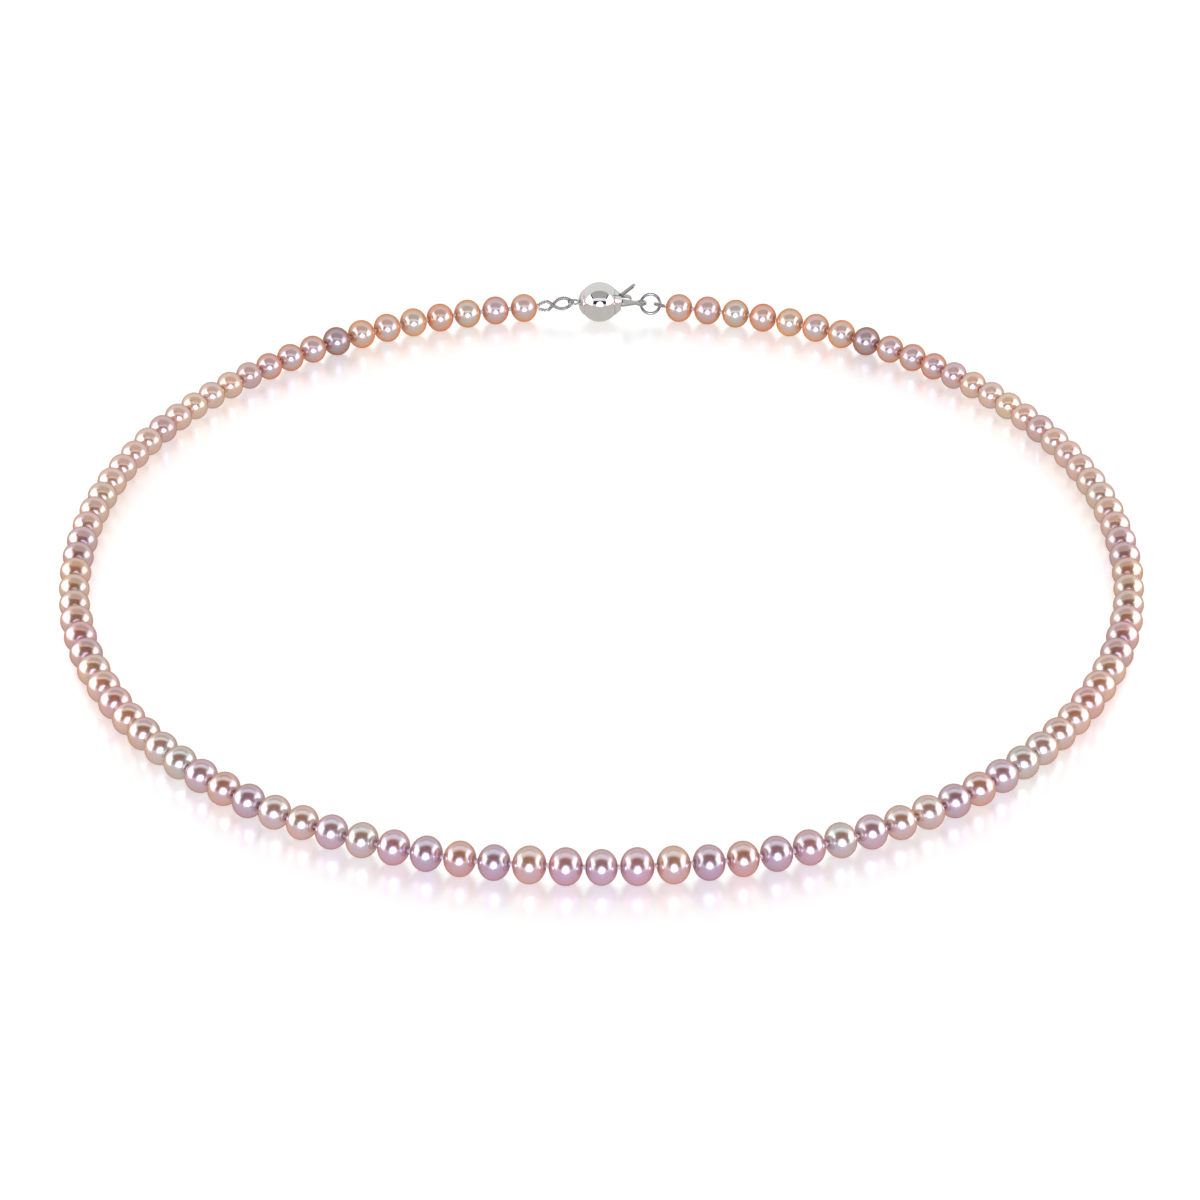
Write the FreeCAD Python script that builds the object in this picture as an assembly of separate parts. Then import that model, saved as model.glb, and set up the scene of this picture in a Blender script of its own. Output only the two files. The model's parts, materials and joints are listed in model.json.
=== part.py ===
import FreeCAD, Part
import math
import os

# Pearl necklace lying closed on a table: a graded strand of drilled pearls, knotted on one silk
# thread, and a silver ball clasp at the back. Units are millimetres and degrees.
# +X is to the right, +Y to the clasp, +Z up. The origin is the middle of the bounding box, at the
# height of the surface the necklace rests on.

V = FreeCAD.Vector
X_AXIS = V(1, 0, 0)
Y_AXIS = V(0, 1, 0)
Z_AXIS = V(0, 0, 1)

# --- the strand ---
LOOP_HALF_WIDTH = 70.3          # from the middle line to the thread at the widest place
LOOP_SQUARENESS = 2.07          # exponent of the loop's outline; 2 would be two half-ellipses
FRONT_DEPTH_SHARE = 0.497       # part of the loop's depth that lies in front of its widest place
CLASP_SPAN = 23.5               # between the centres of the two pearls beside the clasp
# (how many pearls, diameter across the hole, length along it), from the front pearl back one side
PEARL_GRADES = [(1, 4.34, 3.87), (2, 4.60, 4.05), (5, 4.34, 3.88), (10, 4.25, 3.89),
                (6, 4.30, 4.03), (2, 4.05, 3.97), (3, 4.17, 3.93), (4, 4.10, 3.97),
                (4, 4.00, 3.91), (6, 3.93, 3.72), (2, 4.05, 3.87), (8, 4.25, 4.02)]
KNOT_GAP = 0.25                 # between one pearl and the next
END_KNOT_GAP = 0.36             # between the last pearls beside the clasp
END_KNOT_COUNT = 2
HOLE_RADIUS = 0.40
THREAD_RADIUS = 0.25
KNOT_RADIUS = 0.36
RUNNING_CLEARANCE = 0.04
# the strand bends at these knots; each number is how many pearls lie between it and the front pearl
FLEXING_KNOTS = [2, 8, 14, 23, 30, 39, 42, 45, 48]

# --- the clasp, measured from the middle of its ball ---
BALL_X = -0.28                  # the ball sits a little left of the middle line
BALL_RADIUS = 3.0
BALL_WALL = 0.35
BALL_MOUTH_RADIUS = 1.6         # round opening that the slotted collar closes
COLLAR_START = 2.35
COLLAR_END = 3.25
COLLAR_START_RADIUS = 2.00
COLLAR_END_RADIUS = 1.20
SLOT_HALF_WIDTH = 0.95          # the wide lower part of the slot takes the tongue
SLOT_LOW = -0.45
SLOT_STEP = 0.30
NOTCH_HALF_WIDTH = 0.55         # the narrow upper part takes the spring and the thumb tab
NOTCH_HIGH = 1.45
CAP_RADIUS = 1.90
CAP_BULGE = 0.25                # how far the back cap stands off the ball
CAP_DOME_RADIUS = 2.65
BACK_RING_X = -3.95
BACK_RING_RADIUS = 0.75
BACK_RING_WIRE = 0.15
TONGUE_TOP = -0.01
TONGUE_THICKNESS = 0.28
TONGUE_INNER_HALF_WIDTH = 0.80
TONGUE_OUTER_HALF_WIDTH = 1.05
TONGUE_NECK_HALF_WIDTH = 0.42
TONGUE_SHOULDER_X = 3.10
TONGUE_WIDEST_X = 3.55
TONGUE_NECK_X = 5.40
EYE_X = 6.30
EYE_RADIUS = 0.82
EYE_HOLE_RADIUS = 0.47
FOLD_X = -1.60
FOLD_Z = 0.16
FOLD_OUTER_RADIUS = 0.45
FOLD_INNER_RADIUS = 0.17
STOP_X = 3.62
STOP_RADIUS = 0.22
STOP_LENGTH = 1.20
SPRING_THICKNESS = 0.20
SPRING_WIDTH = 0.90
# the spring's middle line from the fold to its curled end, as (x, z)
SPRING_LINE = [(-1.60, 0.16), (3.10, 0.92), (4.15, 0.98), (4.58, 0.82), (4.76, 0.54)]
TAB_FOOT = (3.20, 1.10)
TAB_TIP = (5.00, 2.62)
TAB_THICKNESS = 0.26
JUMP_RING_RADIUS = 1.455
JUMP_RING_WIRE = 0.22
JUMP_RING_X = 7.70
JUMP_RING_Z = -0.30
JUMP_RING_LEAN = 31.0           # the ring's top leans back from upright
RIGHT_LOOP_X = 9.05
RIGHT_LOOP_Z = -0.50
RIGHT_LOOP_RADIUS = 0.65
RIGHT_LOOP_WIRE = 0.25
RIGHT_LOOP_ROLL = -20.0
RIGHT_LOOP_PITCH = 15.0
LEFT_LOOP_TIP_X = -4.12         # end of the loop's middle line inside the back ring
LEFT_LOOP_LENGTH = 3.95         # of its middle line, tip to tip
LEFT_LOOP_HALF_WIDTH = 0.86
LEFT_LOOP_END_RADIUS = 0.78
LEFT_LOOP_WIRE = 0.30
LEFT_LOOP_ROLL = 55.0
STRAND_RADIUS = 0.13            # one of the two plies that leave the left end pearl
PLY_SPREAD = 0.30

# how the knots are laid round the loop
SOLVER_STEPS = 50
SHALLOWEST_LOOP = 60.0
DEEPEST_LOOP = 90.0
SEARCH_RADIUS = 30.0            # smaller than the loop is anywhere across


def expand_grades():
    """The diameter and the length of each pearl along one side, the front pearl first."""
    diameters = []
    lengths = []
    for count, diameter, length in PEARL_GRADES:
        diameters += [diameter] * count
        lengths += [length] * count
    return diameters, lengths


DIAMETERS, LENGTHS = expand_grades()
LAST = len(DIAMETERS) - 1


def knot_gap(index):
    """The gap behind a pearl: wider at the last knots beside the clasp."""
    if index >= LAST - END_KNOT_COUNT:
        return END_KNOT_GAP
    return KNOT_GAP


def knot_spacing(index):
    """From the knot in front of a pearl to the knot behind it."""
    if index == 0:
        return LENGTHS[0] + KNOT_GAP
    return LENGTHS[index] + (knot_gap(index - 1) + knot_gap(index)) / 2


def bisect(wanted, low, high, value_at):
    """The place between low and high where a rising function reaches the wanted value."""
    for _ in range(SOLVER_STEPS):
        middle = (low + high) / 2
        if value_at(middle) < wanted:
            low = middle
        else:
            high = middle
    return (low + high) / 2


def loop_point(angle, depth):
    """A point of the right half of the loop's outline: angle -90 is the front, +90 the back."""
    power = 2 / LOOP_SQUARENESS
    share = FRONT_DEPTH_SHARE if angle < 0 else 1 - FRONT_DEPTH_SHARE
    x = LOOP_HALF_WIDTH * max(math.cos(angle), 0.0) ** power
    y = 2 * depth * share * math.copysign(abs(math.sin(angle)) ** power, angle)
    return V(x, y, 0)


def next_knot(angle, chord, depth):
    """The outline angle of the point one chord further round."""
    here = loop_point(angle, depth)
    return bisect(chord, angle, angle + chord / SEARCH_RADIUS,
                  lambda a: loop_point(a, depth).distanceToPoint(here))


def knots_at_depth(depth):
    """The knots of the right half, front to back, on a loop of this mean half-depth."""
    quarter = math.pi / 2
    angle = bisect(knot_spacing(0) / 2, -quarter, -quarter / 2,
                   lambda a: loop_point(a, depth).x)
    knots = [loop_point(angle, depth)]
    for index in range(1, LAST + 1):
        angle = next_knot(angle, knot_spacing(index), depth)
        knots.append(loop_point(angle, depth))
    return knots


def end_pearl_x(depth):
    knots = knots_at_depth(depth)
    return (knots[-1].x + knots[-2].x) / 2


def lay_out_knots():
    """The knots of the right half, with the loop just deep enough to leave the clasp's span."""
    depth = bisect(CLASP_SPAN / 2, SHALLOWEST_LOOP, DEEPEST_LOOP, end_pearl_x)
    knots = knots_at_depth(depth)
    radii = [diameter / 2 for diameter in DIAMETERS]
    radii.append(radii[-1])
    for index, knot in enumerate(knots):
        knot.z = (radii[index] + radii[index + 1]) / 2
    front = knots[0].y - radii[0]
    back = knots[-1].y + BALL_RADIUS
    lowest = 0.0
    for index in range(1, LAST + 1):
        middle_height = (knots[index - 1].z + knots[index].z) / 2
        lowest = min(lowest, middle_height - radii[index])
    shift = V(0, -(front + back) / 2, -lowest)
    return [knot + shift for knot in knots]


KNOTS = lay_out_knots()
BALL_CENTRE = V(BALL_X, KNOTS[-1].y, BALL_RADIUS)


def mirrored(point):
    return V(-point.x, point.y, point.z)


def knot_on(side, index):
    """A knot of one side; index -1 is the first knot past the front pearl on the other side."""
    if index < 0:
        side = -side
        index = -1 - index
    return KNOTS[index] if side > 0 else mirrored(KNOTS[index])


def aligned(shape, start, end):
    """The shape, made along X about the origin, turned and moved to lie between two points."""
    turn = FreeCAD.Rotation(X_AXIS, end - start)
    moved = shape.copy()
    moved.Placement = FreeCAD.Placement((start + end) / 2, turn)
    return moved


def rod(start, end, radius):
    return Part.makeCylinder(radius, start.distanceToPoint(end), start, end - start)


def torus(ring_radius, wire_radius, centre, axis):
    return Part.makeTorus(ring_radius, wire_radius, centre, axis)


def pearl(start, end, diameter, length):
    """A slightly flattened ball with a hole along the line from knot to knot."""
    radius = diameter / 2
    outline = Part.Ellipse(V(0, radius, 0), V(length / 2, 0, 0), V(0, 0, 0))
    half_angle = math.acos(HOLE_RADIUS / radius)
    near = Part.ArcOfEllipse(outline, -half_angle, 0).toShape()
    far = Part.ArcOfEllipse(outline, 0, half_angle).toShape()
    near_rim = near.valueAt(near.FirstParameter)
    far_rim = far.valueAt(far.LastParameter)
    wall = Part.makeLine(far_rim, near_rim)
    face = Part.Face(Part.Wire([near, far, wall]))
    solid = face.revolve(V(0, 0, 0), X_AXIS, 360)
    return aligned(solid, start, end)


def pearls_between(side, first, last):
    """The pearls numbered first to last on one side; number 0 is the front pearl."""
    solids = []
    for index in range(first, last + 1):
        start = knot_on(side, index - 1)
        end = knot_on(side, index)
        solids.append(pearl(start, end, DIAMETERS[index], LENGTHS[index]))
    return solids


def knotted_thread(points, has_first_knot):
    """Thread through a run of knots. A thread whose first knot is on its neighbour stops short."""
    start = points[0]
    if not has_first_knot:
        along = (points[1] - points[0]).normalize()
        start = points[0] + along * (KNOT_RADIUS + RUNNING_CLEARANCE)
    path = [start] + points[1:]
    pieces = [rod(a, b, THREAD_RADIUS) for a, b in zip(path, path[1:])]
    pieces += [Part.makeSphere(KNOT_RADIUS, b, b - a) for a, b in zip(points, points[1:])]
    if has_first_knot:
        pieces.append(Part.makeSphere(KNOT_RADIUS, points[0], points[1] - points[0]))
    return pieces[0].fuse(pieces[1:])


def save(name, solids):
    """One STEP file for one node: a single solid, or a group of separate ones."""
    shape = solids[0] if len(solids) == 1 else Part.makeCompound(solids)
    shape.exportStep("parts/" + name + ".step")


def section_limits():
    """For each moving section of one side, its first and last pearl."""
    firsts = [knot + 1 for knot in FLEXING_KNOTS]
    lasts = FLEXING_KNOTS[1:] + [LAST]
    return list(zip(firsts, lasts))


def front_section():
    """The pearls and thread at the front, which both sides hang from."""
    reach = FLEXING_KNOTS[0]
    pearls = pearls_between(1, 0, reach) + pearls_between(-1, 1, reach)
    left = [knot_on(-1, index) for index in range(reach, -1, -1)]
    right = [knot_on(1, index) for index in range(reach + 1)]
    return pearls, knotted_thread(left + right, True)


def side_thread(side, first, last):
    points = [knot_on(side, index) for index in range(first - 1, last + 1)]
    if last == LAST:
        return knotted_thread(points[:-1], False).fuse(rod(points[-2], points[-1], THREAD_RADIUS))
    return knotted_thread(points, False)


def placed(shape):
    """The shape, made about the ball's middle, moved to the clasp's place."""
    moved = shape.copy()
    moved.translate(BALL_CENTRE)
    return moved


def strip(line, thickness, width):
    """A bent strip: its middle line is drawn in the XZ plane and its width runs along Y."""
    points = [V(x, -width / 2, z) for x, z in line]
    sides = ([], [])
    for index, point in enumerate(points):
        before = points[max(index - 1, 0)]
        after = points[min(index + 1, len(points) - 1)]
        along_in = (point - before) if index else (after - point)
        along_out = (after - point) if index < len(points) - 1 else (point - before)
        normal = (along_in.normalize() + along_out.normalize()).normalize().cross(Y_AXIS)
        stretch = 1 / math.cos(along_in.getAngle(along_out) / 2)
        offset = normal * (thickness / 2 * stretch)
        sides[0].append(point + offset)
        sides[1].append(point - offset)
    outline = sides[0] + sides[1][::-1]
    face = Part.Face(Part.makePolygon(outline + outline[:1]))
    return face.extrude(V(0, width, 0))


def ball_shell():
    """The hollow ball, open on the right where the collar sits."""
    inner = BALL_RADIUS - BALL_WALL
    outer_rim = V(math.sqrt(BALL_RADIUS ** 2 - BALL_MOUTH_RADIUS ** 2), BALL_MOUTH_RADIUS, 0)
    inner_rim = V(math.sqrt(inner ** 2 - BALL_MOUTH_RADIUS ** 2), BALL_MOUTH_RADIUS, 0)
    skin = Part.Arc(V(-BALL_RADIUS, 0, 0), V(0, BALL_RADIUS, 0), outer_rim).toShape()
    lining = Part.Arc(inner_rim, V(0, inner, 0), V(-inner, 0, 0)).toShape()
    mouth = Part.makeLine(outer_rim, inner_rim)
    pole = Part.makeLine(V(-inner, 0, 0), V(-BALL_RADIUS, 0, 0))
    profile = Part.Face(Part.Wire([skin, mouth, lining, pole]))
    return profile.revolve(V(0, 0, 0), X_AXIS, 360)


def slotted_collar(shell):
    """The tapered plate in the ball's mouth, with the slot that the tongue goes into."""
    length = COLLAR_END - COLLAR_START
    plate = Part.makeCone(COLLAR_START_RADIUS, COLLAR_END_RADIUS, length,
                          V(COLLAR_START, 0, 0), X_AXIS)
    slot_size = (BALL_RADIUS, 2 * SLOT_HALF_WIDTH, SLOT_STEP - SLOT_LOW)
    slot = Part.makeBox(*slot_size, V(COLLAR_START - length, -SLOT_HALF_WIDTH, SLOT_LOW))
    notch_size = (BALL_RADIUS, 2 * NOTCH_HALF_WIDTH, NOTCH_HIGH - SLOT_LOW)
    notch = Part.makeBox(*notch_size, V(COLLAR_START - length, -NOTCH_HALF_WIDTH, SLOT_LOW))
    return plate.cut([shell, slot, notch])


def back_cap():
    """The shallow domed cap on the ball's left."""
    dome_x = CAP_DOME_RADIUS - BALL_RADIUS - CAP_BULGE
    dome = Part.makeSphere(CAP_DOME_RADIUS, V(dome_x, 0, 0))
    plug = Part.makeCylinder(CAP_RADIUS, 2 * BALL_RADIUS, V(0, 0, 0), -X_AXIS)
    return plug.common(dome).cut(Part.makeSphere(BALL_RADIUS))


def back_ring(cap):
    """The ring soldered to the cap, lying level, that the left silk loop passes through."""
    ring = torus(BACK_RING_RADIUS, BACK_RING_WIRE, V(BACK_RING_X, 0, 0), Z_AXIS)
    return ring.cut(cap)


def tongue():
    """The flat lower leaf: a fold at its inner end, wide shoulders, a neck and a round eye."""
    half = [(FOLD_X, TONGUE_INNER_HALF_WIDTH), (TONGUE_SHOULDER_X, TONGUE_INNER_HALF_WIDTH),
            (TONGUE_WIDEST_X, TONGUE_OUTER_HALF_WIDTH), (TONGUE_NECK_X, TONGUE_NECK_HALF_WIDTH),
            (EYE_X, TONGUE_NECK_HALF_WIDTH)]
    bottom = TONGUE_TOP - TONGUE_THICKNESS
    outline = [V(x, y, bottom) for x, y in half] + [V(x, -y, bottom) for x, y in half[::-1]]
    up = V(0, 0, TONGUE_THICKNESS)
    leaf = Part.Face(Part.makePolygon(outline + outline[:1])).extrude(up)
    eye = Part.makeCylinder(EYE_RADIUS, TONGUE_THICKNESS, V(EYE_X, 0, bottom))
    hole = Part.makeCylinder(EYE_HOLE_RADIUS, TONGUE_THICKNESS, V(EYE_X, 0, bottom))
    return leaf.fuse([eye, tongue_fold()]).cut(hole)


def tongue_fold():
    """The half-round bend at the tongue's inner end, open to the right around the spring's end."""
    width = 2 * TONGUE_INNER_HALF_WIDTH
    corner = V(FOLD_X, -TONGUE_INNER_HALF_WIDTH, FOLD_Z)
    bend = Part.makeCylinder(FOLD_OUTER_RADIUS, width, corner, Y_AXIS)
    inside = Part.makeCylinder(FOLD_INNER_RADIUS, width, corner, Y_AXIS)
    right_half = Part.makeBox(width, width, width, corner - V(0, 0, width / 2))
    return bend.cut([inside, right_half])


def tongue_stop():
    """The half-round bar across the tongue that meets the collar when the clasp is shut."""
    start = V(STOP_X, -STOP_LENGTH / 2, TONGUE_TOP)
    bar = Part.makeCylinder(STOP_RADIUS, STOP_LENGTH, start, Y_AXIS)
    across = 2 * STOP_RADIUS
    below = Part.makeBox(across, STOP_LENGTH, across, start - V(STOP_RADIUS, 0, across))
    return bar.cut(below)


def spring_leaf():
    """The upper leaf, which springs open behind the collar; its outer end is curled down."""
    leaf = strip(SPRING_LINE, SPRING_THICKNESS, SPRING_WIDTH)
    start = V(FOLD_X, -SPRING_WIDTH / 2, FOLD_Z)
    return leaf.fuse(Part.makeCylinder(SPRING_THICKNESS / 2, SPRING_WIDTH, start, Y_AXIS))


def thumb_tab(leaf):
    """The tab on the spring leaf that a thumb presses; its tip is round."""
    foot = V(TAB_FOOT[0], 0, TAB_FOOT[1])
    tip = V(TAB_TIP[0], 0, TAB_TIP[1])
    plate = strip([TAB_FOOT, TAB_TIP], TAB_THICKNESS, SPRING_WIDTH)
    across = (tip - foot).normalize().cross(Y_AXIS)
    disc = Part.makeCylinder(SPRING_WIDTH / 2, TAB_THICKNESS, tip - across * TAB_THICKNESS / 2,
                             across)
    return plate.fuse(disc).cut(leaf)


def jump_ring():
    """The round ring between the tongue's eye and the right silk loop, leaning back."""
    ring = torus(JUMP_RING_RADIUS, JUMP_RING_WIRE, V(0, 0, 0), Y_AXIS)
    ring.rotate(V(0, 0, 0), X_AXIS, -JUMP_RING_LEAN)
    ring.translate(V(JUMP_RING_X, 0, JUMP_RING_Z))
    return ring


def right_silk_loop():
    """The short loop of coiled wire at the right end of the thread."""
    loop = torus(RIGHT_LOOP_RADIUS, RIGHT_LOOP_WIRE, V(0, 0, 0), Z_AXIS)
    loop.rotate(V(0, 0, 0), X_AXIS, RIGHT_LOOP_ROLL)
    loop.rotate(V(0, 0, 0), Y_AXIS, RIGHT_LOOP_PITCH)
    loop.translate(V(RIGHT_LOOP_X, 0, RIGHT_LOOP_Z))
    return loop


def bent_tube(centre, radius, start_degrees, sweep_degrees, tube_radius):
    """Part of a ring in the XY plane."""
    start = math.radians(start_degrees)
    outward = V(math.cos(start), math.sin(start), 0)
    forward = V(-math.sin(start), math.cos(start), 0)
    section = Part.Face(Part.Wire(Part.makeCircle(tube_radius, centre + outward * radius, forward)))
    return section.revolve(centre, Z_AXIS, sweep_degrees)


def left_silk_loop():
    """The long loop of coiled wire at the left end: an oval of four arcs that meet smoothly."""
    reach = LEFT_LOOP_LENGTH / 2 - LEFT_LOOP_END_RADIUS
    spare = LEFT_LOOP_HALF_WIDTH - LEFT_LOOP_END_RADIUS
    drop = (reach ** 2 - spare ** 2) / (2 * spare)
    side_radius = LEFT_LOOP_HALF_WIDTH + drop
    lean = math.degrees(math.atan2(reach, drop))
    pieces = []
    for turn in (0, 180):
        flip = 1 if turn == 0 else -1
        pieces.append(bent_tube(V(0, -flip * drop, 0), side_radius, turn + 90 - lean, 2 * lean,
                                LEFT_LOOP_WIRE))
        pieces.append(bent_tube(V(flip * reach, 0, 0), LEFT_LOOP_END_RADIUS, turn - 90 + lean,
                                180 - 2 * lean, LEFT_LOOP_WIRE))
    loop = pieces[0].fuse(pieces[1:])
    tip = V(LEFT_LOOP_LENGTH / 2, 0, 0)
    loop.translate(-tip)
    loop.rotate(V(0, 0, 0), X_AXIS, LEFT_LOOP_ROLL)
    loop.rotate(V(0, 0, 0), Y_AXIS, -left_loop_slope())
    loop.translate(V(LEFT_LOOP_TIP_X, 0, 0))
    return loop


def left_loop_slope():
    """How steeply the left silk loop runs down to the end pearl's hole."""
    hole = mirrored(KNOTS[-1]) - BALL_CENTRE
    return math.degrees(math.atan2(-hole.z, LEFT_LOOP_TIP_X - hole.x))


def left_plies():
    """The two bare plies of silk from the left end pearl to the silk loop."""
    knot = mirrored(KNOTS[-1]) - BALL_CENTRE
    tip = V(LEFT_LOOP_TIP_X, 0, 0)
    inward = (knot - tip).normalize()
    end = tip + inward * LEFT_LOOP_LENGTH
    pieces = [Part.makeSphere(KNOT_RADIUS, knot)]
    for side in (-1, 1):
        spread = V(0, side * PLY_SPREAD * math.cos(math.radians(LEFT_LOOP_ROLL)),
                   side * PLY_SPREAD * math.sin(math.radians(LEFT_LOOP_ROLL)))
        pieces.append(rod(knot, end + spread, STRAND_RADIUS))
    return pieces[0].fuse(pieces[1:])


def build_clasp():
    """Every clasp piece by name, in its place."""
    shell = ball_shell()
    cap = back_cap()
    leaf = spring_leaf()
    pieces = {
        "ball_shell": shell,
        "slotted_collar": slotted_collar(shell),
        "back_cap": cap,
        "back_ring": back_ring(cap),
        "tongue": tongue(),
        "tongue_stop": tongue_stop(),
        "spring_leaf": leaf,
        "thumb_tab": thumb_tab(leaf),
        "jump_ring": jump_ring(),
        "silk_loop_right": right_silk_loop(),
        "silk_loop_left": left_silk_loop(),
    }
    return {name: placed(shape) for name, shape in pieces.items()}


def build():
    os.makedirs("parts", exist_ok=True)
    clasp = build_clasp()
    for name, shape in clasp.items():
        save(name, shape.Solids)
    pearls, thread = front_section()
    save("pearls_front", pearls)
    save("thread_front", thread.Solids)
    for side, word in ((-1, "left"), (1, "right")):
        for number, (first, last) in enumerate(section_limits(), start=1):
            save("pearls_%s_%d" % (word, number), pearls_between(side, first, last))
            thread = side_thread(side, first, last)
            if last == LAST and side < 0:
                thread = thread.fuse(placed(left_plies()))
            if last == LAST:
                thread = thread.cut(clasp["silk_loop_" + word])
            save("thread_%s_%d" % (word, number), thread.Solids)


build()
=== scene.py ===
import bpy
import json
import math
import numpy as np
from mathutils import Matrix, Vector, noise


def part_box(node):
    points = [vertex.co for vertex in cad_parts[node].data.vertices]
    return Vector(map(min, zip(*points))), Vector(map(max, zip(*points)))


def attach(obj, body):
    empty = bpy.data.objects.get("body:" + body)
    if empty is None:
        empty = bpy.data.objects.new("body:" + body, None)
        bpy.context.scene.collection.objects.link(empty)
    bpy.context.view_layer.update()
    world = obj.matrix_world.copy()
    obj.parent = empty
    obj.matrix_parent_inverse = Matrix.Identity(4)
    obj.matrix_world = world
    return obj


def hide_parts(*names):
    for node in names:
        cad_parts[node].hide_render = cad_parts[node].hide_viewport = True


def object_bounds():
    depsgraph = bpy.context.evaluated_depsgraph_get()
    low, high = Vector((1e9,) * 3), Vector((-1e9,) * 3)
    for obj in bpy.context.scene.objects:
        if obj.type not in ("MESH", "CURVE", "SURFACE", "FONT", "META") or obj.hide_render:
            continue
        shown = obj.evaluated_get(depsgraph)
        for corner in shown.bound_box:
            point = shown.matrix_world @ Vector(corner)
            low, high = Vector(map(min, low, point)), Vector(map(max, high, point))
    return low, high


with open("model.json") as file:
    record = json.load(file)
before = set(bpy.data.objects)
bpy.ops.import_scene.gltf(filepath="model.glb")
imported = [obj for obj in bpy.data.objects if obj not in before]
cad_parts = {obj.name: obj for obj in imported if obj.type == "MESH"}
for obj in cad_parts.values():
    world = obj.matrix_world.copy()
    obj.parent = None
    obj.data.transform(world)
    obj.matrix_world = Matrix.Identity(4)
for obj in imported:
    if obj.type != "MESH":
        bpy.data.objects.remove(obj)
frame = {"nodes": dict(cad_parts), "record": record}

# A closed strand of graded freshwater pearls, knotted on silk, with a polished silver ball clasp.
# Lengths are in metres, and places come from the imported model.
# +X is to the right, +Y is towards the clasp and +Z is up.

MM = 0.001
NODES = frame["nodes"]
BODIES = frame["record"]["behaviour"]["bodies"]
X_AXIS = Vector((1, 0, 0))
Y_AXIS = Vector((0, 1, 0))
Z_AXIS = Vector((0, 0, 1))
CAD_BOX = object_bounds()

# --- camera ---
CAMERA_PITCH = 30.78                    # degrees below the horizon
CAMERA_DISTANCE = 0.4967
CAMERA_TARGET = Vector((0, -0.0094, 0))
CAMERA_LENS = 112.2                     # mm
SENSOR_WIDTH = 36                       # mm
CAMERA_SHIFT = -0.00125                 # the strand's middle line lies just right of the frame's
CAMERA_CLIP = (0.01, 20)

# --- pearls ---
SEGMENTS = 36                           # round a pearl's axis
OUTER_RINGS = 20                        # from one hole's mouth over the outside to the other's
HOLE_RADIUS = 0.40 * MM
LIP_WIDTH = 0.10 * MM                   # the rounded edge of the drilled hole
LIP_MIDDLE = (0.25, 0.3)                # shares of the lip: in from the mouth, out from the hole
UNEVENNESS = 0.007                      # share of the radius by which a pearl is out of round
COARSE_SWELL = 1.3                      # scales of the unevenness, over a ball of radius 1
FINE_SWELL = 3.1
FINE_SWELL_SHARE = 0.4                  # how high the fine unevenness is beside the coarse
# one letter for each pearl's tint, from beside the clasp to the front pearl
TINT_ORDER = "PLSOCPAVLLRMAKCPMKPPKSKPLMACKPRMKPRPAKSLOMKALSRMOMARL"

# --- silk thread ---
KNOT_RADIUS = 0.36 * MM
KNOT_STRETCH = 1.3                      # along the thread
KNOT_REACH = 3                          # the trefoil's widest place, in its own unit
KNOT_THREAD = 1.1                       # the thread's radius in the trefoil's unit
KNOT_STEPS = 48
KNOT_SIDES = 6
END_KNOT_OFFSET = 0.18 * MM             # from the last pearl's end to the knot's middle
CUT_BACK = 0.40 * MM                    # where a section's thread starts beside its neighbour's knot
THREAD_RADIUS = 0.24 * MM
THREAD_STEP = 0.30 * MM
THREAD_SIDES = 10
THREAD_TWIST = 1.05                     # radians in one step
THREAD_FLATNESS = 0.22                  # half the share of the radius lost between the two plies
FINE_STEP = 0.05 * MM                   # along the left plies and the left loop

# --- left plies ---
PLY_RADIUS = 0.07 * MM
PLY_TWIST = 0.5                         # radians in one step
PLY_SPREAD = 0.28 * MM                  # from the knot's middle to where each ply leaves it
PLY_BOW = 0.06                          # how far a ply bows out, as a share of its mouth's offset
PLY_CURVE_STEPS = 8
PLY_COIL_RADIUS = 0.285 * MM
PLY_COIL_CLEAR = 4                      # steps left bare at the loop's mouths

# --- wire loops ---
FINE_WIRE_RADIUS = 0.11 * MM
COIL_PITCH = 2.8                        # wire radii from one turn to the next
SPRING_SEGMENTS = 16                    # along one turn of the fine wire
WIRE_SIDES = 6
CORE_GAP = 2.1                          # wire radii from the coil's outside to its silk core
CORE_SIDES = 10
LOOP_CURVE_STEPS = 12
RIGHT_LOOP_STEPS = 64
# the left loop's middle line, as shares of its half-length, half-width and thickness: its two ends
# fan out at the pearl, cross, and open into an eye that passes through the small ring
LEFT_LOOP_LINE = [(-1.0, 0.80, 0.3), (-0.80, 0.50, 0.7), (-0.56, 0.0, 1.05), (-0.30, -0.50, 0.7),
                  (0.04, -0.88, 0.1), (0.42, -0.90, 0.0), (0.78, -0.52, 0.0), (1.0, 0.0, 0.0),
                  (0.78, 0.52, 0.0), (0.42, 0.90, 0.0), (0.04, 0.88, -0.1), (-0.30, 0.50, -0.7),
                  (-0.56, 0.0, -1.05), (-0.80, -0.50, -0.7), (-1.0, -0.80, -0.3)]

# --- clasp ---
LATHE_SEGMENTS = 160
POLE_GAP = 0.3                          # degrees by which a turned shape stops short of the axis
BALL_WALL = 0.35 * MM
BALL_MOUTH_RADIUS = 1.6 * MM
BALL_STEPS = 96                         # points along the ball's outside
BALL_LINING_STEPS = 48
BALL_EDGE_STEPS = 10
CAP_DOME_RADIUS = 2.65 * MM
CAP_EDGE_RADIUS = 0.07 * MM
CAP_EDGE_END = 20                       # degrees: where the rounded edge turns in to the ball
CAP_SINK = 0.02 * MM                    # how far the cap's inside lies below the ball's skin
CAP_SEAT_MARGIN = 1.5                   # degrees from the cap's rim to where its inside starts
CAP_DOME_STEPS = 40
CAP_EDGE_STEPS = 8
CAP_INSIDE_STEPS = 24
RING_STEPS = 120
RING_SIDES = 24
JUMP_RING_GAP = 2.0                     # degrees left open where the ring was cut
EDGE_ROUNDING = 0.045 * MM
EDGE_SEGMENTS = 3
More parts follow.
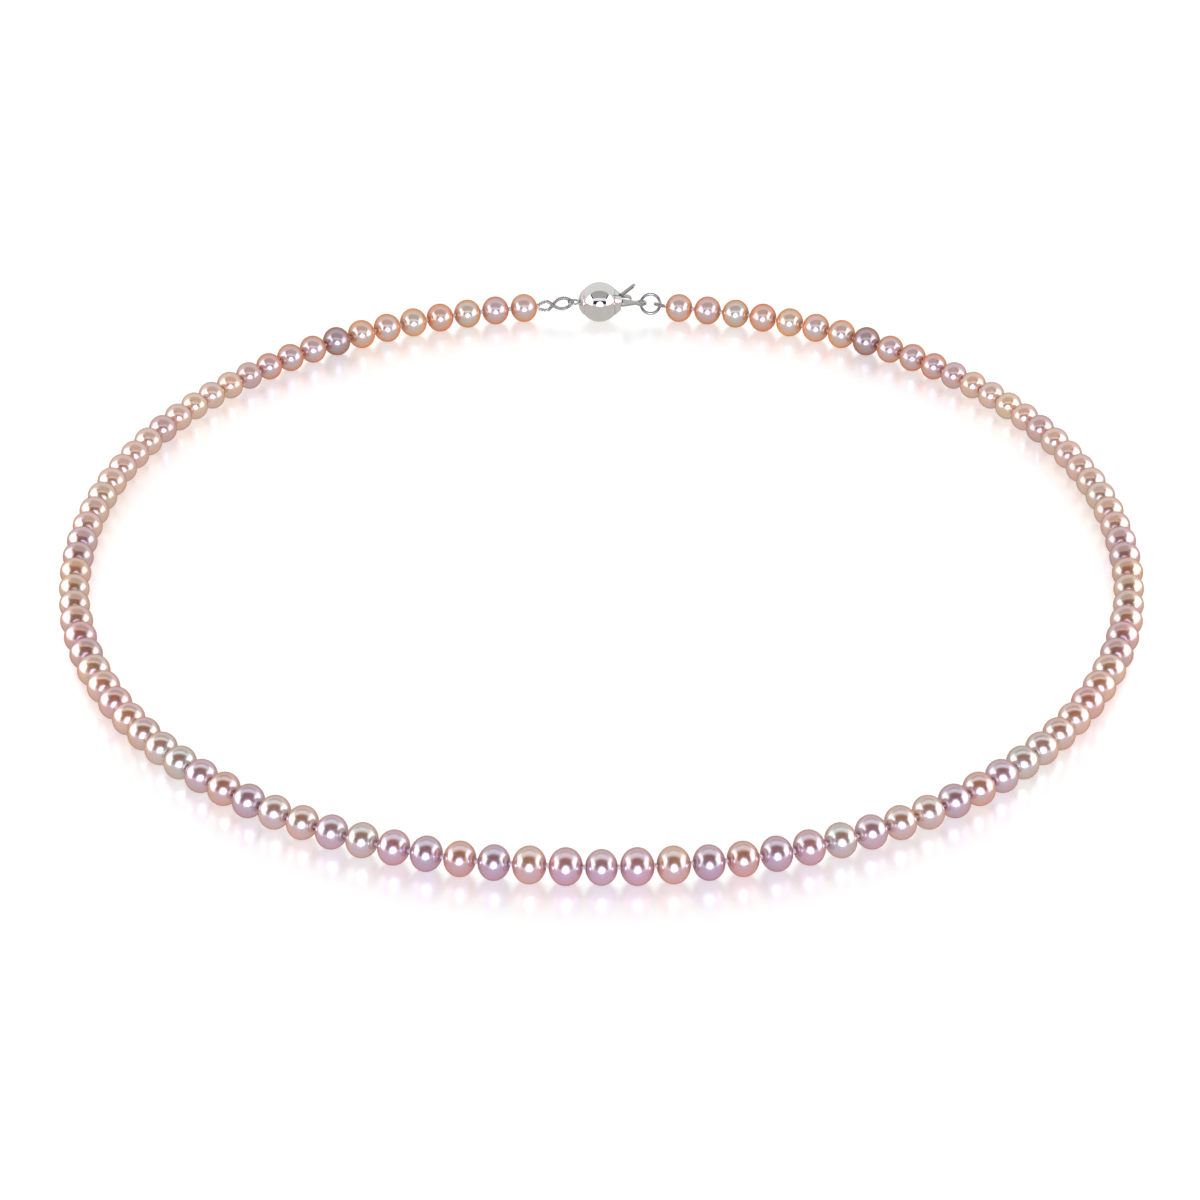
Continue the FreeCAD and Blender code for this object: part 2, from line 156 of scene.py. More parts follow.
EDGE_LEAST_ANGLE = 35                   # degrees: flatter edges stay as they are


# ------------------------------------------------------------------ small helpers

NEARLY_UPRIGHT = 0.1                    # an axis whose sideways part is shorter counts as upright


def new_object(name, vertices, faces, smooth=True):
    mesh = bpy.data.meshes.new(name)
    mesh.from_pydata([tuple(v) for v in vertices], [], faces)
    mesh.update()
    if smooth:
        mesh.shade_smooth()
    piece = bpy.data.objects.new(name, mesh)
    bpy.context.scene.collection.objects.link(piece)
    return piece


def ring_faces(first, second, count):
    """Quads between two rings of vertices, given the number of each ring's first vertex."""
    faces = []
    for i in range(count):
        j = (i + 1) % count
        faces.append((first + i, first + j, second + j, second + i))
    return faces


def frame_about(axis):
    """Two unit vectors across an axis."""
    side = axis.cross(Z_AXIS)
    if side.length < NEARLY_UPRIGHT:
        side = axis.cross(X_AXIS)
    side.normalize()
    return side, axis.cross(side).normalized()


def sweep(path, ups, outlines, closed=False):
    """Vertices and faces of a skin through one outline for each point of a path.

    ups holds a rough upward direction for each point. An outline is a list of (across, up).
    """
    count = len(path)
    sides = len(outlines[0])
    vertices = []
    for i, point in enumerate(path):
        before = path[i - 1] if closed or i else point
        after = path[(i + 1) % count] if closed or i < count - 1 else point
        along = (after - before).normalized()
        across = along.cross(ups[i]).normalized()
        up = across.cross(along)
        vertices += [point + across * a + up * u for a, u in outlines[i]]
    faces = []
    for i in range(count if closed else count - 1):
        faces += ring_faces(i * sides, (i + 1) % count * sides, sides)
    if not closed:
        faces.append(tuple(range(sides))[::-1])
        faces.append(tuple(range((count - 1) * sides, count * sides)))
    return vertices, faces


def circle(radius, sides):
    turns = [2 * math.pi * i / sides for i in range(sides)]
    return [(radius * math.cos(turn), radius * math.sin(turn)) for turn in turns]


def joined(parts):
    """One list of vertices and one of faces from several."""
    vertices = []
    faces = []
    for more_vertices, more_faces in parts:
        shift = len(vertices)
        vertices += more_vertices
        faces += [tuple(index + shift for index in face) for face in more_faces]
    return vertices, faces


def wrapped_faces(rings, count):
    """Quads over a row of rings of vertices, with the last ring joined to the first."""
    faces = []
    for ring in range(rings):
        faces += ring_faces(ring * count, (ring + 1) % rings * count, count)
    return faces


def lathe(profile, centre):
    """A closed profile of (along X, from the axis), turned round the X axis through a point."""
    vertices = []
    for along, across in profile:
        for segment in range(LATHE_SEGMENTS):
            turn = 2 * math.pi * segment / LATHE_SEGMENTS
            offset = Vector((along, across * math.cos(turn), across * math.sin(turn)))
            vertices.append(centre + offset)
    return vertices, wrapped_faces(len(profile), LATHE_SEGMENTS)


def smooth_curve(points, steps):
    """A curve through all the points (Catmull-Rom), with a number of steps between each two."""
    padded = [2 * points[0] - points[1]] + points + [2 * points[-1] - points[-2]]
    curve = []
    for p, q, r, t in zip(padded, padded[1:], padded[2:], padded[3:]):
        for step in range(steps):
            f = step / steps
            bend = 2 * p - 5 * q + 4 * r - t
            last = 3 * q - p - 3 * r + t
            curve.append((2 * q + (r - p) * f + bend * f ** 2 + last * f ** 3) / 2)
    return curve + [points[-1]]


def evenly_spaced(curve, step):
    """Points along a curve of short straight pieces, at equal distances of about one step."""
    lengths = np.array([(b - a).length for a, b in zip(curve, curve[1:])])
    reached = np.concatenate(([0], np.cumsum(lengths)))
    count = max(int(round(reached[-1] / step)), 1)
    wanted = np.linspace(0, reached[-1], count + 1)
    columns = [np.interp(wanted, reached, [point[k] for point in curve]) for k in range(3)]
    return [Vector(point) for point in zip(*columns)]


def vertices_of(node):
    """A CAD node's vertices as rows of x, y and z."""
    mesh = NODES[node].data
    flat = np.empty(len(mesh.vertices) * 3)
    mesh.vertices.foreach_get("co", flat)
    return flat.reshape(-1, 3)


def body_of_node(node):
    return next(body for body, members in BODIES.items() if node in members)


def add_piece(name, shape, material, node, replaces=True):
    """A new piece on a CAD node's body. It stands for the node, unless it is an extra."""
    piece = new_object(name, *shape)
    piece.data.materials.append(material)
    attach(piece, body_of_node(node))
    if replaces:
        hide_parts(node)


# ------------------------------------------------------------------ node materials

NOISE_SPAN = (0.3, 0.7)
FINE_DETAIL = 3                         # octaves of a fine noise
BUMP_HEIGHT = 0.02 * MM
# the sockets of a mix node that hold its two colours, and the one that gives the result
MIX_FIRST = 6
MIX_SECOND = 7
MIX_RESULT = 2


def new_material(name):
    material = bpy.data.materials.new(name)
    material.use_nodes = True
    tree = material.node_tree
    tree.nodes.clear()
    output = tree.nodes.new("ShaderNodeOutputMaterial")
    return material, tree, output


def add_node(tree, kind, **settings):
    node = tree.nodes.new(kind)
    for key, value in settings.items():
        setattr(node, key, value)
    return node


def set_inputs(node, **values):
    for key, value in values.items():
        node.inputs[key.replace("_", " ")].default_value = value
    return node


def grain(tree, scale, detail):
    """Noise in the object's own coordinates."""
    place = add_node(tree, "ShaderNodeTexCoord")
    texture = set_inputs(add_node(tree, "ShaderNodeTexNoise"), Scale=scale, Detail=detail)
    tree.links.new(place.outputs["Object"], texture.inputs["Vector"])
    return texture.outputs["Fac"]


def ramp(tree, value, start, end, low=0, high=1, style="SMOOTHSTEP"):
    """A value mapped to run from low to high between start and end, and level beyond them."""
    mapping = add_node(tree, "ShaderNodeMapRange", interpolation_type=style)
    set_inputs(mapping, From_Min=start, From_Max=end, To_Min=low, To_Max=high)
    tree.links.new(value, mapping.inputs["Value"])
    return mapping.outputs["Result"]


def noise_value(tree, scale, detail, low, high):
    """Noise mapped to run from low to high over the span that holds most of its values."""
    return ramp(tree, grain(tree, scale, detail), *NOISE_SPAN, low, high, "LINEAR")


def mixed_colour(tree, factor, first, second):
    """A colour that runs from the first to the second as the factor runs from 0 to 1."""
    mixer = add_node(tree, "ShaderNodeMix", data_type="RGBA")
    mixer.inputs[MIX_FIRST].default_value = (*first, 1)
    mixer.inputs[MIX_SECOND].default_value = (*second, 1)
    tree.links.new(factor, mixer.inputs[0])
    return mixer.outputs[MIX_RESULT]


def bump(tree, scale, strength):
    push = set_inputs(add_node(tree, "ShaderNodeBump"), Strength=strength, Distance=BUMP_HEIGHT)
    tree.links.new(grain(tree, scale, FINE_DETAIL), push.inputs["Height"])
    return push.outputs["Normal"]


def principled(tree, **values):
    return set_inputs(add_node(tree, "ShaderNodeBsdfPrincipled"), **values)


def clouded(name, scale, first, second, **values):
    """A material whose colour wanders between two. Gives it with its tree and its shader."""
    material, tree, output = new_material(name)
    shader = principled(tree, **values)
    colour = mixed_colour(tree, noise_value(tree, scale, FINE_DETAIL, 0, 1), first, second)
    tree.links.new(colour, shader.inputs["Base Color"])
    tree.links.new(shader.outputs[0], output.inputs["Surface"])
    return material, tree, shader


# ------------------------------------------------------------------ nacre

# letter: (body colour, orient colour); the body shows in the dark parts of the reflection,
# the orient tints what the pearl mirrors
TINTS = {
    "P": ((0.98, 0.38, 0.14), (0.97, 0.90, 0.94)),      # pink peach
    "L": ((0.84, 0.33, 0.20), (0.97, 0.86, 0.96)),      # lilac
    "S": ((0.90, 0.40, 0.16), (0.94, 0.96, 0.96)),      # silvery cream
    "O": ((1.00, 0.32, 0.08), (0.98, 0.84, 0.82)),      # copper orange
    "C": ((0.98, 0.43, 0.15), (0.99, 0.95, 0.91)),      # cream peach
    "K": ((0.96, 0.40, 0.16), (0.98, 0.93, 0.94)),      # cream pink
    "A": ((1.00, 0.38, 0.11), (0.99, 0.90, 0.87)),      # apricot
    "V": ((0.48, 0.17, 0.11), (0.80, 0.70, 0.78)),      # dark mauve
    "R": ((0.92, 0.30, 0.16), (0.95, 0.84, 0.92)),      # rose
    "M": ((0.74, 0.27, 0.17), (0.94, 0.84, 0.91)),      # mauve pink
}
# (pearls up to this place from the clasp, what the body and the orient are multiplied by, and the
# mirroring layer's share where it faces the eye and at the rim): deeper orange beside the clasp,
# more violet at the front. The colour factors are painted light: they stand in for how differently
# the front of the strand and the part by the clasp are lit.
ZONES = [(11, (0.92, 0.73, 0.22), (0.81, 0.92, 0.97), 0.76, 0.02),
         (36, (0.92, 0.86, 0.50), (0.92, 0.99, 1.01), 0.63, 0.62),
         (53, (0.82, 0.86, 1.10), (0.81, 0.99, 1.12), 0.67, 0.42)]
WARM_PLAY = (1.00, 0.94, 0.90)          # the play of colour in the orient, patch by patch
COOL_PLAY = (0.93, 0.97, 1.03)
ORIENT_EDGE = (0.64, 0.44, 0.40, 1)     # tints the mirroring layer at grazing angles
BODY_SHADE = 0.80                       # the body's darker clouds, as a share of its colour
NACRE_ROUGHNESS = (0.21, 0.27)
FACING_SPAN = (0.12, 0.82)              # from where a pearl faces the eye to where it turns away
CLOUD_SCALE = 450
PLAY_SCALE = 260
GROWTH_SCALE = 2500
GROWTH_STRENGTH = 0.04


def times(colour, factors):
    return tuple(min(c * f, 1.0) for c, f in zip(colour, factors))


def gloss_share(tree, at_centre, at_rim):
    """How much of the mirroring layer shows, from where the surface faces the eye to its rim."""
    weight = set_inputs(add_node(tree, "ShaderNodeLayerWeight"), Blend=0.5)
    return ramp(tree, weight.outputs["Facing"], *FACING_SPAN, at_centre, at_rim)


def nacre(letter, zone):
    """Pearl: a saturated body under a layer that mirrors, in its own pale tint."""
    _, body_factors, orient_factors, at_centre, at_rim = ZONES[zone]
    body_colour = times(TINTS[letter][0], body_factors)
    orient_colour = times(TINTS[letter][1], orient_factors)
    shaded = tuple(BODY_SHADE * c for c in body_colour)
    material, tree, output = new_material("nacre_%s%d" % (letter, zone + 1))
    body = principled(tree, Metallic=0.0, Roughness=0.45, Specular_IOR_Level=0.25,
                      Coat_Weight=0.15, Coat_Roughness=0.10)
    orient = principled(tree, Metallic=1.0, Specular_Tint=ORIENT_EDGE,
                        Coat_Weight=0.25, Coat_Roughness=0.10)
    cloud = noise_value(tree, CLOUD_SCALE, 2, 0, 1)
    tree.links.new(mixed_colour(tree, cloud, body_colour, shaded), body.inputs["Base Color"])
    play = noise_value(tree, PLAY_SCALE, 1, 0, 1)
    glow = mixed_colour(tree, play, times(orient_colour, WARM_PLAY), times(orient_colour, COOL_PLAY))
    tree.links.new(glow, orient.inputs["Base Color"])
    rough = noise_value(tree, GROWTH_SCALE, 2, *NACRE_ROUGHNESS)
    tree.links.new(rough, orient.inputs["Roughness"])
    normal = bump(tree, GROWTH_SCALE, GROWTH_STRENGTH)
    for shader in (body, orient):
        tree.links.new(normal, shader.inputs["Normal"])
    layers = add_node(tree, "ShaderNodeMixShader")
    tree.links.new(gloss_share(tree, at_centre, at_rim), layers.inputs[0])
    tree.links.new(body.outputs[0], layers.inputs[1])
    tree.links.new(orient.outputs[0], layers.inputs[2])
    tree.links.new(layers.outputs[0], output.inputs["Surface"])
    return material


# ------------------------------------------------------------------ pearls

def islands(node):
    """The separate solids of a CAD node, each as an array of its vertices."""
    points = vertices_of(node)
    places = {}
    # vertices that agree to a tenth of a micron share a place
    place_of = [places.setdefault(tuple(point), len(places)) for point in np.round(points, 7)]
    parent = list(range(len(places)))

    def root(i):
        while parent[i] != i:
            parent[i] = parent[parent[i]]
            i = parent[i]
        return i

    for edge in NODES[node].data.edges:
        parent[root(place_of[edge.vertices[0]])] = root(place_of[edge.vertices[1]])
    groups = {}
    for index, place in enumerate(place_of):
        groups.setdefault(root(place), []).append(index)
    return [points[group] for group in groups.values()]


def strand_angle(centre):
    """How far round the loop a point lies: -pi and pi are at the clasp, 0 is at the front."""
    return math.atan2(centre.x, -centre.y)


def find_pearls():
    """Every pearl of the CAD model in order round the loop, from the clasp's left to its right."""
    found = []
    for node in NODES:
        if node.startswith("pearls_"):
            for points in islands(node):
                centre = Vector((points.min(0) + points.max(0)) / 2)
                found.append({"node": node, "centre": centre, "points": points})
    found.sort(key=lambda pearl: strand_angle(pearl["centre"]))
    for index, pearl in enumerate(found):
        before = found[max(index - 1, 0)]["centre"]
        after = found[min(index + 1, len(found) - 1)]["centre"]
        pearl["axis"] = (after - before).normalized()
    # an end pearl has one neighbour only, so the bend up to that one is carried on past it
    for end, inner in ((0, 1), (-1, -2)):
        turn = found[end]["axis"].rotation_difference(found[inner]["axis"])
        found[end]["axis"].rotate(turn.inverted())
    for pearl in found:
        measure_pearl(pearl)
    return found


def measure_pearl(pearl):
    """A pearl's radius, and its half length as if it had no hole."""
    offsets = pearl["points"] - np.array(pearl["centre"])
    along = np.abs(offsets @ np.array(pearl["axis"])).max()
    pearl["radius"] = float(np.linalg.norm(offsets, axis=1).max())
    shortfall = math.sqrt(1 - (HOLE_RADIUS / pearl["radius"]) ** 2)
    pearl["half_length"] = float(along) / shortfall


def pearl_profile(radius, half_length):
    """(along the axis, from the axis) from one hole's mouth over the outside to the other's."""
    start = math.asin((HOLE_RADIUS + LIP_WIDTH) / radius)
    outside = []
    for ring in range(OUTER_RINGS):
        angle = start + (math.pi - 2 * start) * ring / (OUTER_RINGS - 1)
        outside.append((half_length * math.cos(angle), radius * math.sin(angle)))
    mouth = outside[0][0]
    inward, outward = LIP_MIDDLE
    lip = [(mouth - LIP_WIDTH, HOLE_RADIUS),
           (mouth - LIP_WIDTH * inward, HOLE_RADIUS + LIP_WIDTH * outward)]
    tail = [(-along, across) for along, across in reversed(lip)]
    return lip + outside + tail


def swell(direction, seed):
    """How far a pearl's skin stands out in one direction."""
    coarse = noise.noise(direction * COARSE_SWELL + seed)
    return coarse + FINE_SWELL_SHARE * noise.noise(direction * FINE_SWELL + seed)


def pearl_shape(pearl):
    axis = pearl["axis"]
    side, up = frame_about(axis)
    seed = pearl["centre"] / MM
    profile = pearl_profile(pearl["radius"], pearl["half_length"])
    vertices = []
    for along, across in profile:
        for segment in range(SEGMENTS):
            turn = 2 * math.pi * segment / SEGMENTS
            spot = axis * along + (side * math.cos(turn) + up * math.sin(turn)) * across
            growth = 1 + UNEVENNESS * swell(spot.normalized(), seed)
            vertices.append(pearl["centre"] + spot * growth)
    return vertices, wrapped_faces(len(profile), SEGMENTS)


def build_pearls():
    """One piece for each pearl. Places are counted from the clasp, on either side."""
    pearls = find_pearls()
    materials = {}
    middle = len(pearls) // 2
    for index, pearl in enumerate(pearls):
        place = min(index, len(pearls) - 1 - index)
        side = "left" if index < middle else "right"
        name = "pearl_front" if index == middle else "pearl_%s_%02d" % (side, place + 1)
        zone = next(i for i, limits in enumerate(ZONES) if place < limits[0])
        tint = TINT_ORDER[place], zone
        if tint not in materials:
            materials[tint] = nacre(*tint)
        add_piece(name, pearl_shape(pearl), materials[tint], pearl["node"])
    return pearls


# ------------------------------------------------------------------ silk thread

SILK_LIGHT = (1.0, 0.88, 0.88)
SILK_DARK = (0.92, 0.76, 0.79)
FIBRE_SCALE = 6000
YARN_SCALE = 9000
YARN_STRENGTH = 0.5


def silk():
    """Pale silk, with the fine unevenness of its yarns."""
    material, tree, shader = clouded("silk", FIBRE_SCALE, SILK_LIGHT, SILK_DARK,
                                     Roughness=0.62, Sheen_Weight=1.0, Sheen_Roughness=0.4)
    tree.links.new(bump(tree, YARN_SCALE, YARN_STRENGTH), shader.inputs["Normal"])
    return material


def find_knots(pearls):
    """The middle of every gap between pearls, and of the knots beyond the two end pearls."""
    reach = [pearl["axis"] * pearl["half_length"] for pearl in pearls]
    knots = [pearls[0]["centre"] - reach[0] - pearls[0]["axis"] * END_KNOT_OFFSET]
    for i in range(len(pearls) - 1):
        end = pearls[i]["centre"] + reach[i]
        start = pearls[i + 1]["centre"] - reach[i + 1]
        knots.append((end + start) / 2)
    knots.append(pearls[-1]["centre"] + reach[-1] + pearls[-1]["axis"] * END_KNOT_OFFSET)
    return knots


def knot_axis(pearls, index):
    """The way the thread runs through a knot, from the pearl before it to the one after it."""
    if index == 0:
        return pearls[0]["axis"]
    return (pearls[index]["centre"] - pearls[index - 1]["centre"]).normalized()


def knot_shape(centre, axis):
    """A small overhand knot: a trefoil of thread pulled tight round the axis."""
    unit = KNOT_RADIUS / (KNOT_REACH + KNOT_THREAD)
    side, up = frame_about(axis)
    path = []
    for i in range(KNOT_STEPS):
        t = 2 * math.pi * i / KNOT_STEPS
        reach = KNOT_REACH - 1 + math.cos(3 * t)
        spot = side * (reach * math.cos(2 * t)) + up * (reach * math.sin(2 * t))
        path.append(centre + (spot + axis * (KNOT_STRETCH * math.sin(3 * t))) * unit)
    outline = circle(KNOT_THREAD * unit, KNOT_SIDES)
    return sweep(path, [axis] * KNOT_STEPS, [outline] * KNOT_STEPS, closed=True)


def twisted_outline(radius, turn):
    """Two plies side by side, turned about the thread's middle."""
    outline = []
    for i in range(THREAD_SIDES):
        angle = 2 * math.pi * i / THREAD_SIDES
        reach = radius * (1 - THREAD_FLATNESS + THREAD_FLATNESS * math.cos(2 * (angle - turn)))
        outline.append((reach * math.cos(angle), reach * math.sin(angle)))
    return outline


def twisted_cord(curve, radius, step, twist):
    path = evenly_spaced(curve, step)
    outlines = [twisted_outline(radius, twist * i) for i in range(len(path))]
    return sweep(path, [Z_AXIS] * len(path), outlines)


def left_ply_lines(start, mouths):
    """Middle lines of the two plies from the left end pearl's knot to the wire loop's mouths."""
    between = (mouths[0] + mouths[1]) / 2
    lines = []
    for mouth in mouths:
        first = start + (mouth - between).normalized() * PLY_SPREAD
        middle = (first + mouth) / 2 + (mouth - between) * PLY_BOW
        curve = smooth_curve([first, middle, mouth], PLY_CURVE_STEPS)
        lines.append(evenly_spaced(curve, FINE_STEP))
    return lines


def thread_run(knots, first, last):
    """A section's knots in a row, cut back where the end one is its neighbour's."""
    middle = (len(knots) - 1) // 2
    run = knots[first:last + 1]
    if first > middle:
        run[0] = run[0] + (run[1] - run[0]).normalized() * CUT_BACK
    if last <= middle:
        run[-1] = run[-1] + (run[-2] - run[-1]).normalized() * CUT_BACK
    return run


def carried_knots(first, last, count):
    """The knots a section carries. One between two sections goes with the one nearer the front."""
    middle = count // 2
    start = first if first <= middle else first + 1
    end = last + 1 if middle < last < count else last
    return range(start, end)


def build_threads(pearls, knots, left_mouths, material):
    """One piece of thread for each section of the strand, with the knots it carries."""
    sections = {}
    for index, pearl in enumerate(pearls):
        sections.setdefault(pearl["node"], []).append(index)
    for node, members in sections.items():
        first = members[0]
        last = members[-1] + 1
        run = thread_run(knots, first, last)
        parts = [twisted_cord(run, THREAD_RADIUS, THREAD_STEP, THREAD_TWIST)]
        for index in carried_knots(first, last, len(pearls)):
            parts.append(knot_shape(knots[index], knot_axis(pearls, index)))
        if first == 0:
            for line in left_ply_lines(knots[0], left_mouths):
                parts.append(twisted_cord(line, PLY_RADIUS, FINE_STEP, PLY_TWIST))
        thread = node.replace("pearls", "thread")
        add_piece("silk_" + thread, joined(parts), material, thread)


# ------------------------------------------------------------------ loops of coiled wire

WIRE_BRIGHT = (0.60, 0.60, 0.59)
WIRE_TARNISHED = (0.30, 0.29, 0.29)
TARNISH_SCALE = 1500
WIRE_GRAIN_SCALE = 4000
WIRE_ROUGHNESS = (0.10, 0.20)


def bright_wire():
    """Fine plated wire, tarnished in patches."""
    material, tree, shader = clouded("bright_wire", TARNISH_SCALE, WIRE_BRIGHT, WIRE_TARNISHED,
                                     Metallic=1.0)
    rough = noise_value(tree, WIRE_GRAIN_SCALE, 2, *WIRE_ROUGHNESS)
    tree.links.new(rough, shader.inputs["Roughness"])
    return material


def measure_flat(node):
    """Middle, directions (longest first) and half-sizes of a flat node, however it is turned."""
    points = vertices_of(node)
    rough = points.mean(0)
    directions = np.linalg.svd(points - rough, full_matrices=False)[2]
    offsets = (points - rough) @ directions.T
    middle = rough + ((offsets.max(0) + offsets.min(0)) / 2) @ directions
    sizes = (offsets.max(0) - offsets.min(0)) / 2
    directions = [Vector(d) for d in directions]
    if directions[0].x < 0:
        directions[0].negate()
    if directions[1].z < 0:
        directions[1].negate()
    directions[2] = directions[0].cross(directions[1])
    return Vector(middle), directions, [float(size) for size in sizes]


def coil(line, ups, coil_radius, closed):
    """Fine wire wound round a line. The number of turns is whole, so a closed coil meets."""
    spans = len(line) if closed else len(line) - 1
    length = sum((b - a).length for a, b in zip(line, line[1:]))
    if closed:
        length += (line[0] - line[-1]).length
    turns = int(length / (COIL_PITCH * FINE_WIRE_RADIUS))
    count = turns * SPRING_SEGMENTS
    path = []
    outward = []
    for place in np.linspace(0, spans, count, endpoint=not closed):
        low = min(int(place), spans - 1)
        high = (low + 1) % len(line)
        share = place - low
        along = (line[high] - line[low]).normalized()
        across = along.cross(ups[low].lerp(ups[high], share)).normalized()
        up = across.cross(along)
        turn = 2 * math.pi * turns * place / spans
        direction = across * math.cos(turn) + up * math.sin(turn)
        path.append(line[low].lerp(line[high], share) + direction * (coil_radius - FINE_WIRE_RADIUS))
        outward.append(direction)
    outline = circle(FINE_WIRE_RADIUS, WIRE_SIDES)
    return sweep(path, outward, [outline] * count, closed)


def left_loop_line():
    """The left loop's middle line as points, with its thickness and the way its plane faces."""
    middle, directions, sizes = measure_flat("silk_loop_left")
    thick = sizes[2]
    reach = (sizes[0] - thick, sizes[1] - thick, thick)
    points = []
    for shares in LEFT_LOOP_LINE:
        point = middle.copy()
        for direction, share, size in zip(directions, shares, reach):
            point += direction * share * size
        points.append(point)
    line = evenly_spaced(smooth_curve(points, LOOP_CURVE_STEPS), FINE_STEP)
    return line, thick, directions[2]


def add_loop(node, line, thick, face, closed, wire, core):
    """A wire loop, coiled round its silk core. face is the way the loop's plane faces."""
    ups = [face] * len(line)
    shape = coil(line, ups, thick, closed)
    add_piece(node.replace("silk", "wire"), shape, wire, node)
    outline = circle(thick - CORE_GAP * FINE_WIRE_RADIUS, CORE_SIDES)
    shape = sweep(line, ups, [outline] * len(line), closed)
    add_piece(node + "_core", shape, core, node, replaces=False)


def wind_left_plies(start, mouths, wire):
    """Fine wire round the two plies, from the knot to just short of the loop's mouths."""
    face = (mouths[0] - start).cross(mouths[1] - start).normalized()
    coils = []
    for line in left_ply_lines(start, mouths):
        covered = line[:-PLY_COIL_CLEAR]
        coils.append(coil(covered, [face] * len(covered), PLY_COIL_RADIUS, False))
    add_piece("wire_plies_left", joined(coils), wire, "thread_left_9", replaces=False)


def right_loop_line():
    """The right loop's middle line, a circle, with its thickness and the way its plane faces."""
    middle, directions, sizes = measure_flat("silk_loop_right")
    ring = []
    for i in range(RIGHT_LOOP_STEPS):
        turn = 2 * math.pi * i / RIGHT_LOOP_STEPS
        spot = directions[0] * math.cos(turn) + directions[1] * math.sin(turn)
        ring.append(middle + spot * (sizes[0] - sizes[2]))
    return ring, sizes[2], directions[2]


def build_wire_loops(start, core):
    """Both coiled loops and the wire on the left plies, which run from their start at the knot.

    Gives the places where the left loop's two ends open.
    """
    wire = bright_wire()
    line, thick, face = left_loop_line()
    add_loop("silk_loop_left", line, thick, face, False, wire, core)
    add_loop("silk_loop_right", *right_loop_line(), True, wire, core)
    mouths = line[0], line[-1]
    wind_left_plies(start, mouths, wire)
    return mouths


# ------------------------------------------------------------------ silver clasp

SILVER_COLOUR = (0.90, 0.897, 0.89)
HAZE_LEVEL = 0.94                       # brightness of the hazier patches, as a share
HAZE_SCALE = 900
POLISH_SCALE = 2500
DENT_SCALE = 700
DENT_STRENGTH = 0.03


def silver(name, brightness, low, high):
    """Silver with the faintest unevenness of hand polishing; low and high bound its roughness."""
    # a brightness below one darkens the metal as painted shade
    bright = times(SILVER_COLOUR, (brightness,) * 3)
    hazy = times(bright, (HAZE_LEVEL,) * 3)
    material, tree, shader = clouded(name, HAZE_SCALE, bright, hazy, Metallic=1.0)
    tree.links.new(noise_value(tree, POLISH_SCALE, 2, low, high), shader.inputs["Roughness"])
    tree.links.new(bump(tree, DENT_SCALE, DENT_STRENGTH), shader.inputs["Normal"])
    return material


def arc(centre, radius, start, end, steps):
    """Points of an arc in the profile plane, from one angle to another in degrees."""
    points = []
    for i in range(steps + 1):
        angle = math.radians(start + (end - start) * i / steps)
        points.append((centre[0] + radius * math.cos(angle), centre[1] + radius * math.sin(angle)))
    return points


def ball_profile(radius):
    """Outer skin from the left pole to the mouth, a rounded rim, and the lining back again."""
    inner = radius - BALL_WALL
    rim = BALL_WALL / 2
    mouth_angle = math.degrees(math.asin(BALL_MOUTH_RADIUS / (radius - rim)))
    outside = arc((0, 0), radius, 180 - POLE_GAP, mouth_angle, BALL_STEPS)
    middle = (radius - rim) * math.cos(math.radians(mouth_angle)), BALL_MOUTH_RADIUS
    edge = arc(middle, rim, mouth_angle, mouth_angle - 180, BALL_EDGE_STEPS)[1:-1]
    lining = arc((0, 0), inner, mouth_angle, 180 - POLE_GAP, BALL_LINING_STEPS)
    return outside + edge + lining


def cap_profile(ball_radius, tip, rim_radius):
    """The domed cap: its rounded edge stands just off the ball. X runs from the ball's middle."""
    dome_middle = tip + CAP_DOME_RADIUS
    reach = CAP_DOME_RADIUS - CAP_EDGE_RADIUS
    half = math.degrees(math.asin((rim_radius - CAP_EDGE_RADIUS) / reach))
    dome = arc((dome_middle, 0), CAP_DOME_RADIUS, 180 - POLE_GAP, 180 - half, CAP_DOME_STEPS)
    edge_middle = dome_middle - reach * math.cos(math.radians(half)), rim_radius - CAP_EDGE_RADIUS
    edge = arc(edge_middle, CAP_EDGE_RADIUS, 180 - half, CAP_EDGE_END, CAP_EDGE_STEPS)[1:]
    seat = 180 - math.degrees(math.asin(rim_radius / ball_radius)) + CAP_SEAT_MARGIN
    inside = arc((0, 0), ball_radius - CAP_SINK, seat, 180 - POLE_GAP, CAP_INSIDE_STEPS)
    return dome + edge + inside


def round_ring(middle, first, second, radius, wire, gap):
    """A ring of round wire. A gap in degrees leaves it cut at its start, as a jump ring is."""
    path = []
    for i in range(RING_STEPS):
        share = i / (RING_STEPS - 1) if gap else i / RING_STEPS
        turn = math.radians(gap / 2 + (360 - gap) * share)
        path.append(middle + (first * math.cos(turn) + second * math.sin(turn)) * radius)
    face = first.cross(second)
    outline = circle(wire, RING_SIDES)
    return sweep(path, [face] * RING_STEPS, [outline] * RING_STEPS, closed=not gap)


def build_ball(material):
    """The hollow ball, and the domed cap on its back."""
    low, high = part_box("ball_shell")
    radius = (high.y - low.y) / 2
    centre = Vector((low.x + radius, (low.y + high.y) / 2, (low.z + high.z) / 2))
    add_piece("clasp_ball", lathe(ball_profile(radius), centre), material, "ball_shell")
    low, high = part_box("back_cap")
    profile = cap_profile(radius, low.x - centre.x, (high.y - low.y) / 2)
    add_piece("domed_cap", lathe(profile, centre), material, "back_cap")


def build_cap_ring(material):
    low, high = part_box("back_ring")
    outer = (high.y - low.y) / 2
    wire = (high.z - low.z) / 2
    middle = Vector((low.x + outer, (low.y + high.y) / 2, (low.z + high.z) / 2))
    ring = round_ring(middle, X_AXIS, Y_AXIS, outer - wire, wire, 0)
    add_piece("cap_ring", ring, material, "back_ring")


